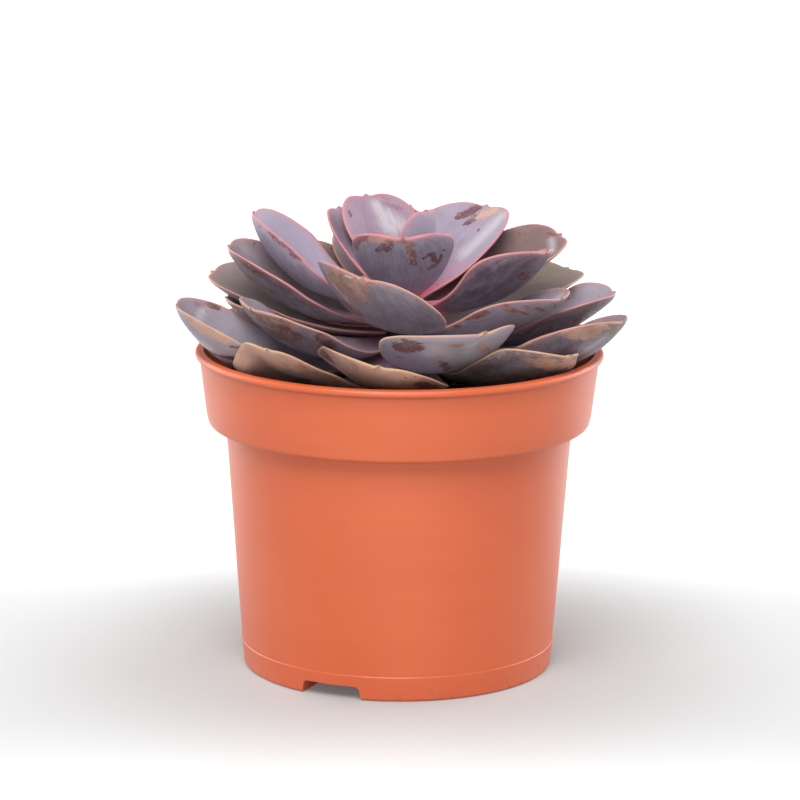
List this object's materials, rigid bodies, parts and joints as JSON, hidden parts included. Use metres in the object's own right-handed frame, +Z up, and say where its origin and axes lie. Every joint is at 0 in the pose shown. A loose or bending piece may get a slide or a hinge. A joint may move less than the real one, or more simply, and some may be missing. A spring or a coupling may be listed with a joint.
{
  "type": "potted succulent",
  "caption": "Low rosette of broad cupped fleshy leaves on a short stem, growing in soil in a tapered round plastic pot with a wide band under its lip.",
  "frame": {"origin": "on the pot's axis, at the level of the ground under its foot; the centre of the bounding box lies within 1 mm of that axis, because the leaves reach a little further on one side", "axes": "+Z up along the pot's axis, -Y towards the viewer of the picture and +X to the viewer's right"},
  "size_m": [0.1302, 0.1209, 0.1367],
  "materials": {
    "pot_plastic": "satin",
    "soil": "matte",
    "stem": "matte",
    "young_leaf": "satin",
    "old_leaf": "matte"
  },
  "bodies": {
    "root": {"pot": "pot_plastic", "soil": "soil", "stem": "stem", "leaf_01": "young_leaf", "leaf_02": "young_leaf", "leaf_03": "young_leaf", "leaf_04": "young_leaf", "leaf_05": "young_leaf", "leaf_06": "young_leaf", "leaf_07": "young_leaf", "leaf_08": "young_leaf", "leaf_09": "young_leaf", "leaf_10": "young_leaf", "leaf_11": "young_leaf", "leaf_12": "old_leaf", "leaf_13": "old_leaf", "leaf_14": "old_leaf", "leaf_15": "old_leaf", "leaf_16": "old_leaf", "leaf_17": "old_leaf", "leaf_18": "old_leaf", "leaf_19": "old_leaf", "leaf_20": "old_leaf", "leaf_21": "old_leaf", "leaf_22": "old_leaf", "leaf_23": "old_leaf", "leaf_24": "old_leaf", "leaf_25": "old_leaf", "leaf_26": "old_leaf", "leaf_27": "old_leaf", "leaf_28": "old_leaf", "leaf_29": "old_leaf", "leaf_30": "old_leaf", "leaf_31": "old_leaf", "leaf_32": "old_leaf", "leaf_33": "old_leaf", "leaf_34": "old_leaf"}
  },
  "joints": []
}
